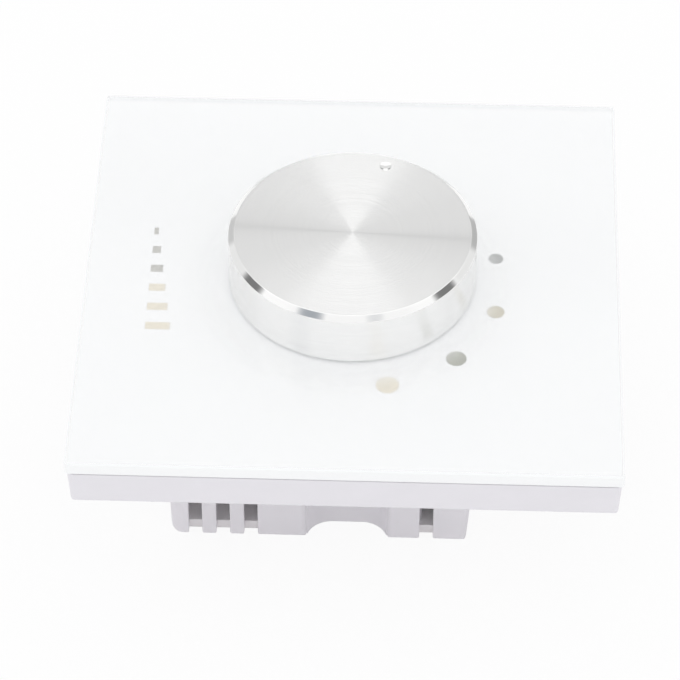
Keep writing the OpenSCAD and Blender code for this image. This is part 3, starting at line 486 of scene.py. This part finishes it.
def laminate(name, dark, light, roughness):
    """Pressed paper laminate with fibres that run one way."""
    nodes = finish(name)
    spot = nodes.place()
    fibre = nodes.noise(nodes.vector("MULTIPLY", spot, (0.6, 7.0, 3.0)), 1.2, detail=4.0, rough=0.65)
    return nodes.paint(
        Base_Color=nodes.tint(fibre, rgb(*dark), rgb(*light)),
        Roughness=roughness + fibre * 0.15,
        Normal=nodes.bump(fibre, 0.006 * MM),
    )


def board_laminate():
    """Green solder mask over a woven base."""
    nodes = finish("board_laminate")
    spot = nodes.place()
    x, y, _ = nodes.split(spot)
    weave = nodes.maths("SINE", x * 9.0) * nodes.maths("SINE", y * 9.0)
    cloud = nodes.noise(spot, 0.25, detail=3.0)
    return nodes.paint(
        Base_Color=nodes.tint(cloud + weave * 0.12, rgb(0.012, 0.115, 0.05), rgb(0.03, 0.19, 0.085)),
        Roughness=0.26 + cloud * 0.1,
        Normal=nodes.bump(weave, 0.004 * MM),
    )


def foam_tape():
    """Closed-cell foam."""
    nodes = finish("foam_tape")
    cells = nodes.add("ShaderNodeTexVoronoi", None, {"Vector": nodes.place(), "Scale": 7.0})
    return nodes.paint(
        Base_Color=nodes.tint(cells, rgb(0.3, 0.3, 0.32), rgb(0.42, 0.42, 0.44)),
        Roughness=0.75 + cells * 0.15,
        Normal=nodes.bump(cells, 0.02 * MM),
    )


def polyester_tape():
    """Thin glossy tape with the turns under it just showing."""
    nodes = finish("polyester_tape")
    spot = nodes.place()
    height = nodes.split(spot)[2]
    turns = nodes.maths("SINE", height * 18.0) * 0.5 + 0.5
    crease = nodes.noise(nodes.vector("MULTIPLY", spot, (0.4, 0.4, 2.0)), 1.0, detail=3.0)
    return nodes.paint(
        Base_Color=nodes.tint(turns * 0.3 + crease * 0.4, rgb(0.62, 0.42, 0.03), rgb(0.8, 0.6, 0.08)),
        Roughness=0.18 + crease * 0.14,
        Normal=nodes.bump(turns + crease, 0.01 * MM),
    )


# Finishes of the metals

def plated(name, dark, light, roughness):
    """Bright plating with fine rubbed marks and eased edges."""
    nodes = finish(name)
    spot = nodes.place()
    rubbed = nodes.noise(nodes.vector("MULTIPLY", spot, (8.0, 1.2, 1.2)), 3.0, detail=3.0, rough=0.6)
    bloom = nodes.noise(spot, 0.7, detail=3.0)
    return nodes.paint(
        Base_Color=nodes.tint(bloom * 0.6 + rubbed * 0.4, rgb(*dark), rgb(*light)),
        Metallic=1.0,
        Roughness=roughness - 0.06 + rubbed * 0.1 + bloom * 0.06,
        Normal=nodes.bump(rubbed, 0.002 * MM, nodes.eased_edges(0.08 * MM)),
    )


def core_steel():
    """Stacked sheets of varnished steel."""
    nodes = finish("core_steel")
    spot = nodes.place()
    sheet = 0.25
    sheets = nodes.maths("PINGPONG", nodes.split(spot)[1], sheet) / sheet
    varnish = nodes.noise(spot, 0.5, detail=4.0, rough=0.6)
    return nodes.paint(
        Base_Color=nodes.tint(sheets * 0.5 + varnish * 0.5, rgb(0.09, 0.075, 0.065), rgb(0.3, 0.29, 0.29)),
        Metallic=0.55,
        Roughness=0.34 + varnish * 0.2,
        Normal=nodes.bump(sheets, 0.03 * MM),
    )


def enamelled_wire():
    """Copper turns that lie side by side along the bobbin, lighter on each crown and darker between the turns
    as painted highlight and painted shade.
    """
    nodes = finish("enamelled_wire")
    spot = nodes.place()
    wire = 0.14
    turns = nodes.maths("PINGPONG", nodes.split(spot)[2], wire) / wire
    crown_with_painted_shade = (1.0 - (1.0 - turns) * (1.0 - turns)) ** 0.5
    shade = nodes.noise(nodes.vector("MULTIPLY", spot, (0.2, 0.2, 7.0)), 1.0)
    # Painted highlight and shade: the colour is lighter on each turn's crown and darker in the grooves between
    # turns
    return nodes.paint(
        Base_Color=nodes.tint(crown_with_painted_shade * 0.6 + shade * 0.4, rgb(0.16, 0.045, 0.015), rgb(0.52, 0.19, 0.06)),
        Metallic=0.8,
        Roughness=0.24 + shade * 0.12,
        Normal=nodes.bump(crown_with_painted_shade, 0.12 * MM),
    )


FINISHES = {
    "clear_glass": clear_glass(),
    "white_print": white_print(),
    "silver_print": silver_print(),
    "turned_aluminium": turned_aluminium(),
    "adhesive": foam_tape(),
    "white_plastic": moulded("white_plastic", (0.80, 0.785, 0.825), 0.42),
    "housing_plastic": moulded("housing_plastic", (0.88, 0.86, 0.9), 0.5, thin=0.16),
    "cover_plastic": moulded("cover_plastic", (0.96, 0.935, 0.945), 0.4, thin=0.05),
    "black_plastic": moulded("black_plastic", (0.018, 0.018, 0.02), 0.45),
    "nylon": moulded("nylon", (0.76, 0.73, 0.62), 0.4),
    "terminal_plastic": moulded("terminal_plastic", (0.02, 0.16, 0.07), 0.42),
    "phenolic": laminate("phenolic", (0.13, 0.055, 0.02), (0.27, 0.13, 0.055), 0.38),
    "board_laminate": board_laminate(),
    "coil_tape": polyester_tape(),
    "spring_steel": plated("spring_steel", (0.48, 0.49, 0.5), (0.62, 0.63, 0.64), 0.24),
    "shaft_brass": plated("shaft_brass", (0.62, 0.6, 0.55), (0.74, 0.72, 0.66), 0.22),
    "zinc_casting": plated("zinc_casting", (0.46, 0.47, 0.49), (0.58, 0.59, 0.61), 0.36),
    "zinc_steel": plated("zinc_steel", (0.6, 0.61, 0.63), (0.76, 0.77, 0.79), 0.26),
    "contact_brass": plated("contact_brass", (0.6, 0.42, 0.16), (0.8, 0.6, 0.26), 0.24),
    "tinned_wire": plated("tinned_wire", (0.66, 0.65, 0.62), (0.78, 0.77, 0.74), 0.3),
    "core_steel": core_steel(),
    "enamelled_wire": enamelled_wire(),
}


def coat(piece, slot):
    """Gives a piece the finish of its material slot alone."""
    piece.data.materials.clear()
    piece.data.materials.append(FINISHES[slot])


for part in frame["record"]["subparts"]:
    coat(frame["nodes"][part["node"]], part["material_slot"])


# Shaping

def new_piece(name):
    """Names the primitive that was just added, with its place put into its mesh."""
    piece = bpy.context.object
    piece.name = name
    bpy.ops.object.transform_apply(location=True, rotation=True, scale=True)
    return piece


def block(name, low, high):
    """A block between two corners."""
    bpy.ops.object.select_all(action="DESELECT")
    bpy.ops.mesh.primitive_cube_add(
        size=1,
        location=[(a + b) / 2 for a, b in zip(low, high)],
        scale=[b - a for a, b in zip(low, high)],
    )
    return new_piece(name)


def join(piece, other, operation):
    """Adds another piece to this one, or cuts it away, and removes it."""
    bpy.ops.object.select_all(action="DESELECT")
    bpy.context.view_layer.objects.active = piece
    piece.select_set(True)
    change = piece.modifiers.new(other.name, "BOOLEAN")
    change.object = other
    change.operation = operation
    bpy.ops.object.modifier_apply(modifier=change.name)
    bpy.data.objects.remove(other)


def pick(piece, kind, wanted):
    """Leaves the piece in edit mode with the faces or edges selected that pass a test."""
    bpy.ops.object.mode_set(mode="EDIT")
    bpy.ops.mesh.select_mode(type=kind)
    bpy.ops.mesh.select_all(action="DESELECT")
    bpy.ops.object.mode_set(mode="OBJECT")
    mesh = piece.data
    if kind == "FACE":
        for face in mesh.polygons:
            face.select = wanted(face.normal)
    else:
        for edge in mesh.edges:
            edge.select = all(wanted(mesh.vertices[v].co) for v in edge.vertices)
    bpy.ops.object.mode_set(mode="EDIT")


def faces_up(normal):
    return normal.z > 0.9


def faces_down(normal):
    return normal.z < -0.9


def on_ring(radius, height):
    """A test for points of a circle round the knob axis."""
    return lambda p: abs(math.hypot(p.x, p.y) - radius) < NEAR and abs(p.z - height) < NEAR


def bevel(offset, segments=3):
    """Bevels the edges that are selected."""
    bpy.ops.mesh.bevel(offset=offset, segments=segments)


# The knob

def knob():
    """A hollow turned cap with a polished chamfer and a drilled dimple as its pointer."""
    low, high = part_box("knob_cap")
    radius, foot, top = high.x, low.z, high.z
    bpy.ops.object.select_all(action="DESELECT")
    bpy.ops.mesh.primitive_cylinder_add(
        vertices=KNOB_SIDES,
        radius=radius,
        depth=top - foot,
        location=(0, 0, (foot + top) / 2),
        end_fill_type="NGON",
    )
    cap = new_piece("knob")

    pick(cap, "FACE", faces_up)
    bpy.ops.mesh.inset(thickness=CHAMFER_WIDTH)
    pick(cap, "EDGE", on_ring(radius, top))
    bpy.ops.transform.translate(value=(0, 0, -CHAMFER_HEIGHT))

    pick(cap, "FACE", faces_down)
    bpy.ops.mesh.inset(thickness=KNOB_WALL)
    bpy.ops.mesh.extrude_region_move(TRANSFORM_OT_translate={"value": (0, 0, top - KNOB_TOP - foot)})
    pick(cap, "EDGE", on_ring(radius, foot))
    bevel(FOOT_CHAMFER, segments=2)

    for ring in ((radius, top - CHAMFER_HEIGHT), (radius - CHAMFER_WIDTH, top)):
        pick(cap, "EDGE", on_ring(*ring))
        bevel(EDGE_EASE)
    bpy.ops.object.mode_set(mode="OBJECT")

    spot = Vector((math.sin(DIMPLE_CLOCK), math.cos(DIMPLE_CLOCK), 0)) * DIMPLE_PITCH
    bpy.ops.object.select_all(action="DESELECT")
    bpy.ops.mesh.primitive_cone_add(
        vertices=DIMPLE_SIDES,
        radius1=DIMPLE_FLOOR,
        radius2=2 * DIMPLE_RADIUS - DIMPLE_FLOOR,
        depth=2 * DIMPLE_FLANK,
        location=(spot.x, spot.y, top),
        end_fill_type="NGON",
    )
    drill = new_piece("drill")
    pick(drill, "FACE", faces_down)
    bpy.ops.mesh.extrude_region_move(TRANSFORM_OT_translate={"value": (0, 0, DIMPLE_FLANK - DIMPLE_DEPTH)})
    bpy.ops.mesh.merge(type="CENTER")
    bpy.ops.object.mode_set(mode="OBJECT")
    join(cap, drill, "DIFFERENCE")

    rim = 1.05 * DIMPLE_RADIUS
    pick(cap, "EDGE", lambda p: abs(p.z - top) < NEAR / 10 and (p.xy - spot.xy).length < rim)
    bevel(EDGE_EASE)
    bpy.ops.object.mode_set(mode="OBJECT")
    bpy.ops.object.shade_smooth_by_angle(angle=KNOB_CREASE)
    flats = cap.modifiers.new("flats", "WEIGHTED_NORMAL")
    flats.weight = 100
    flats.keep_sharp = True
    bpy.ops.object.modifier_apply(modifier=flats.name)
    coat(cap, "turned_aluminium")
    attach(cap, "knob")
    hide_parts("knob_cap")


# The contact wiper

def finger(pitch, contact, top):
    """A spring finger that slopes from the bridge down to its contact."""
    half = FINGER_WIDTH / 2
    strip = block(
        "finger",
        (-CONTACT_RADIUS, pitch - half, contact + TIP_HEIGHT),
        (CONTACT_RADIUS, pitch + half, top),
    )
    pick(strip, "FACE", faces_down)
    bpy.ops.mesh.extrude_region_move(TRANSFORM_OT_translate={"value": (0, 0, -TIP_THICKNESS)})
    pick(strip, "FACE", faces_up)
    narrowing = FINGER_ROOT / (2 * CONTACT_RADIUS)
    bpy.ops.transform.resize(value=(narrowing, 1, 1), center_override=(0, pitch, top))
    bpy.ops.transform.translate(value=(FINGER_ROOT / 2 - WIPER_ROOT, 0, 0))
    bpy.ops.object.mode_set(mode="OBJECT")
    return strip


def wiper():
    """The spring bridge of the contacts, with a corner cut to pass the end stop's ledge at full turn."""
    low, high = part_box("contact_wiper")
    top, half = high.z, FINGER_WIDTH / 2
    contact = low.z + CONTACT_RADIUS
    left, far = -WIPER_ROOT - BRIDGE_WIDTH / 2, STUD_PITCH + half
    bridge = block(
        "wiper",
        (left, COMMON_PITCH - half, top - WIPER_SHEET),
        (left + BRIDGE_WIDTH, far, top),
    )
    pick(bridge, "EDGE", lambda p: math.hypot(p.x - left, p.y - far) < NEAR)
    bevel(WIPER_CORNER, segments=1)
    bpy.ops.object.mode_set(mode="OBJECT")
    for pitch in (COMMON_PITCH, STUD_PITCH):
        join(bridge, finger(pitch, contact, top), "UNION")
        bpy.ops.object.select_all(action="DESELECT")
        bpy.ops.mesh.primitive_uv_sphere_add(
            segments=24, ring_count=12, radius=CONTACT_RADIUS, location=(0, pitch, contact)
        )
        join(bridge, new_piece("contact"), "UNION")
    bridge.rotation_euler.z = -DIMPLE_CLOCK
    bpy.ops.object.transform_apply(location=True, rotation=True, scale=True)
    bpy.ops.object.shade_smooth_by_angle(angle=WIPER_CREASE)
    coat(bridge, "contact_brass")
    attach(bridge, "knob")
    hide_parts("contact_wiper")


knob()
wiper()


# Studio

def studio_floor():
    """White paper that looks as bright as the tent to the camera and in mirrors."""
    bpy.ops.object.select_all(action="DESELECT")
    bpy.ops.mesh.primitive_plane_add(size=FLOOR_SIZE, location=(0, 0, cad_box[0][2] - FLOOR_GAP))
    floor = new_piece("floor")
    nodes = finish("floor_paper")
    rays = nodes.rays("Is Camera Ray")
    shown = rays + rays.out("Is Glossy Ray") + rays.out("Is Transmission Ray")
    paper = nodes.dull(rgb(0.92, 0.92, 0.92))
    white = nodes.add("ShaderNodeEmission", None, {"Color": WHITE, "Strength": 1.0})
    floor.data.materials.append(nodes.show(nodes.mix(shown * FLOOR_WHITE, paper, white)))


def studio_light():
    """Even light from all round; polished metal also sees the grey cards of the light tent."""
    world = bpy.data.worlds.new("light_tent")
    bpy.context.scene.world = world
    nodes = Nodes(world)
    x, y, z = nodes.split(nodes.add("ShaderNodeTexCoord", output="Generated"))
    back = 0.0 - x
    low = 1.0 - nodes.soft(z, *LOW_STEP)

    def band(value, middle, step):
        """A strip round a middle value, with soft rims."""
        return 1.0 - nodes.soft(abs(value - middle), *step)

    def card(way, core, rim, strength):
        """A round card at a direction, with a soft rim."""
        near = x * way[0] + y * way[1] + z * way[2]
        return nodes.soft(near, math.cos(math.radians(rim)), math.cos(math.radians(core))) * strength

    # The sheet overhead, light towards the rear, with a darker arch and a fine seam for the knob's top
    arch = band(x + y * ARCH_SKEW, ARCH_MIDDLE, ARCH_STEP)
    seam = band(x + y * SEAM_SKEW, SEAM_MIDDLE, SEAM_STEP)
    overhead = OVERHEAD + nodes.soft(back, *REAR_STEP) * (REAR_GAIN - arch * ARCH_SHADE) - seam * SEAM_SHADE

    # The sheets beside it, greyer towards the rear and, low down, lighter on the left
    beside = (
        1.0
        - nodes.soft(back, *SIDE_NEAR_STEP) * SIDE_NEAR_SHADE
        - nodes.soft(back, *SIDE_FAR_STEP) * SIDE_FAR_SHADE
    )
    beside = beside * (1.0 - y * low * nodes.soft(back, *UNEVEN_STEP) * UNEVEN_SHADE)
    tone = overhead + (beside - overhead) * nodes.soft(abs(y) + low * SIDE_SPREAD, *SIDE_STEP)

    # Two low shades at the rear for the crescents in the dimple, and dark cards for the chamfer
    aside = abs(y - FLANK_MIDDLE)
    flank = nodes.soft(aside, *FLANK_START) * (1.0 - nodes.soft(aside, *FLANK_END))
    flank = flank * nodes.soft(back, *FLANK_REAR) * (1.0 - nodes.soft(z, *FLANK_TOP))
    tone = tone * (1.0 - flank * FLANK_SHADE)
    for dark in DARK_CARDS:
        tone = tone * (1.0 - card(*dark))

    # Cool grey cards in front, and a tall one for a band on the knob's side
    sideways = (x * TALL_SIDE[0] + y * TALL_SIDE[1]) / (x * x + y * y) ** 0.5
    cool = nodes.soft(sideways, *TALL_STEP) * (1.0 - nodes.soft(z, *TALL_TOP)) * TALL_SHARE
    for grey in COOL_CARDS:
        cool = cool + card(*grey)
    seen = nodes.scaled(nodes.tint(cool, WHITE, COOL_GREY), tone)

    # Only a mirror that is seen before any dull surface shows the cards
    rays = nodes.rays("Is Glossy Ray")
    mirrored = rays * (rays.out("Diffuse Depth") < 0.5)
    direct = rays.out("Is Camera Ray") + rays.out("Is Transmission Ray")
    level = TENT_LIGHT - (direct + mirrored) * TENT_EXCESS
    lit = nodes.tint(mirrored, WHITE, seen)
    tent = nodes.add("ShaderNodeBackground", None, {"Color": lit, "Strength": level})
    nodes.add("ShaderNodeOutputWorld", None, {"Surface": tent})


def photo_camera():
    """The photo's view."""
    reach = math.cos(CAMERA_RISE)
    back = Vector((math.sin(CAMERA_TURN) * reach, -math.cos(CAMERA_TURN) * reach, math.sin(CAMERA_RISE)))
    right = Vector((math.cos(CAMERA_TURN), math.sin(CAMERA_TURN), 0))
    up = back.cross(right)
    level = right * math.cos(CAMERA_ROLL) + up * math.sin(CAMERA_ROLL)
    tall = up * math.cos(CAMERA_ROLL) - right * math.sin(CAMERA_ROLL)
    aim = Vector((0, 0, GLASS_FRONT)) - level * AIM_LEFT - tall * AIM_DOWN
    lens = bpy.data.cameras.new("camera")
    lens.sensor_width = CAMERA_SENSOR
    lens.lens = CAMERA_LENS
    lens.clip_start = 0.01
    lens.clip_end = 50
    camera = bpy.data.objects.new("camera", lens)
    bpy.context.scene.collection.objects.link(camera)
    facing = Matrix((level, tall, back)).transposed().to_4x4()
    camera.matrix_world = Matrix.Translation(aim + back * CAMERA_DISTANCE) @ facing
    bpy.context.scene.camera = camera


studio_floor()
studio_light()
photo_camera()
bpy.context.scene.view_settings.view_transform = "Standard"
